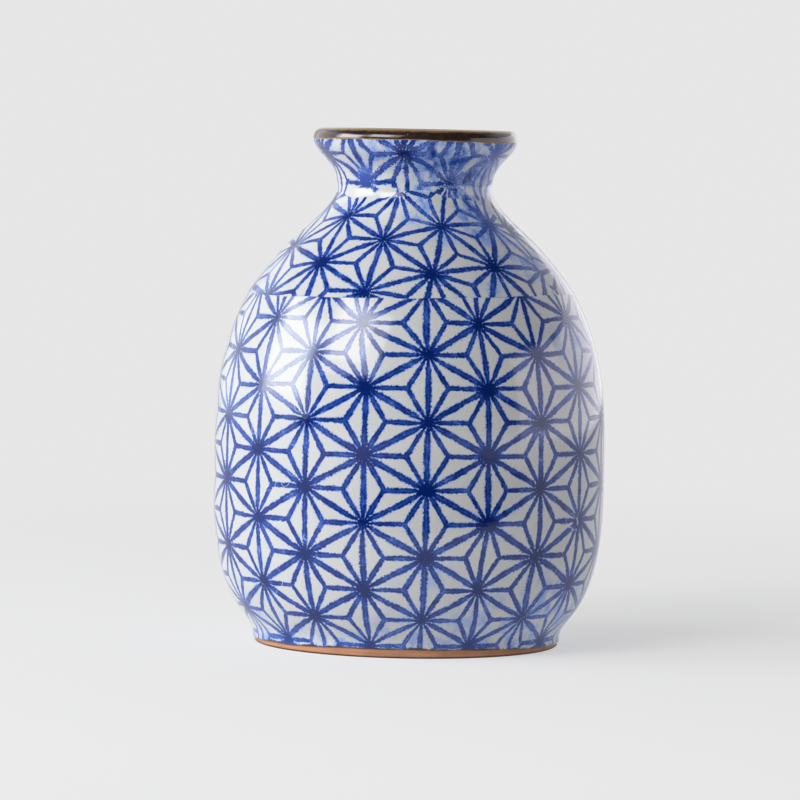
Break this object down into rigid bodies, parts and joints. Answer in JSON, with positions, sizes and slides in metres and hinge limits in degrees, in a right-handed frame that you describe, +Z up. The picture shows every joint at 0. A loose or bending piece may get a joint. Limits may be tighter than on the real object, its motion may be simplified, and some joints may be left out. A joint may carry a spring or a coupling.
{
  "type": "sake bottle",
  "caption": "Squat round-bellied ceramic sake bottle with a short flared neck, a brown glazed lip and a blue hemp-leaf print.",
  "frame": {"origin": "centre of the foot ring, on the surface that the bottle stands on", "axes": "+Z up along the bottle's axis; the bottle is round, and its front is towards -Y"},
  "size_m": [0.0912, 0.0912, 0.12],
  "materials": {
    "bare_clay": "unglazed, matt",
    "printed_glaze": "clear gloss over cobalt print on off-white",
    "brown_glaze": "glossy iron brown",
    "white_glaze": "clear gloss on off-white"
  },
  "bodies": {
    "root": {"clay_body": "bare_clay", "body_glaze": "printed_glaze", "shoulder_glaze": "printed_glaze", "neck_glaze": "printed_glaze", "rim_glaze": "brown_glaze", "inner_glaze": "white_glaze", "base_glaze": "white_glaze"}
  },
  "joints": []
}
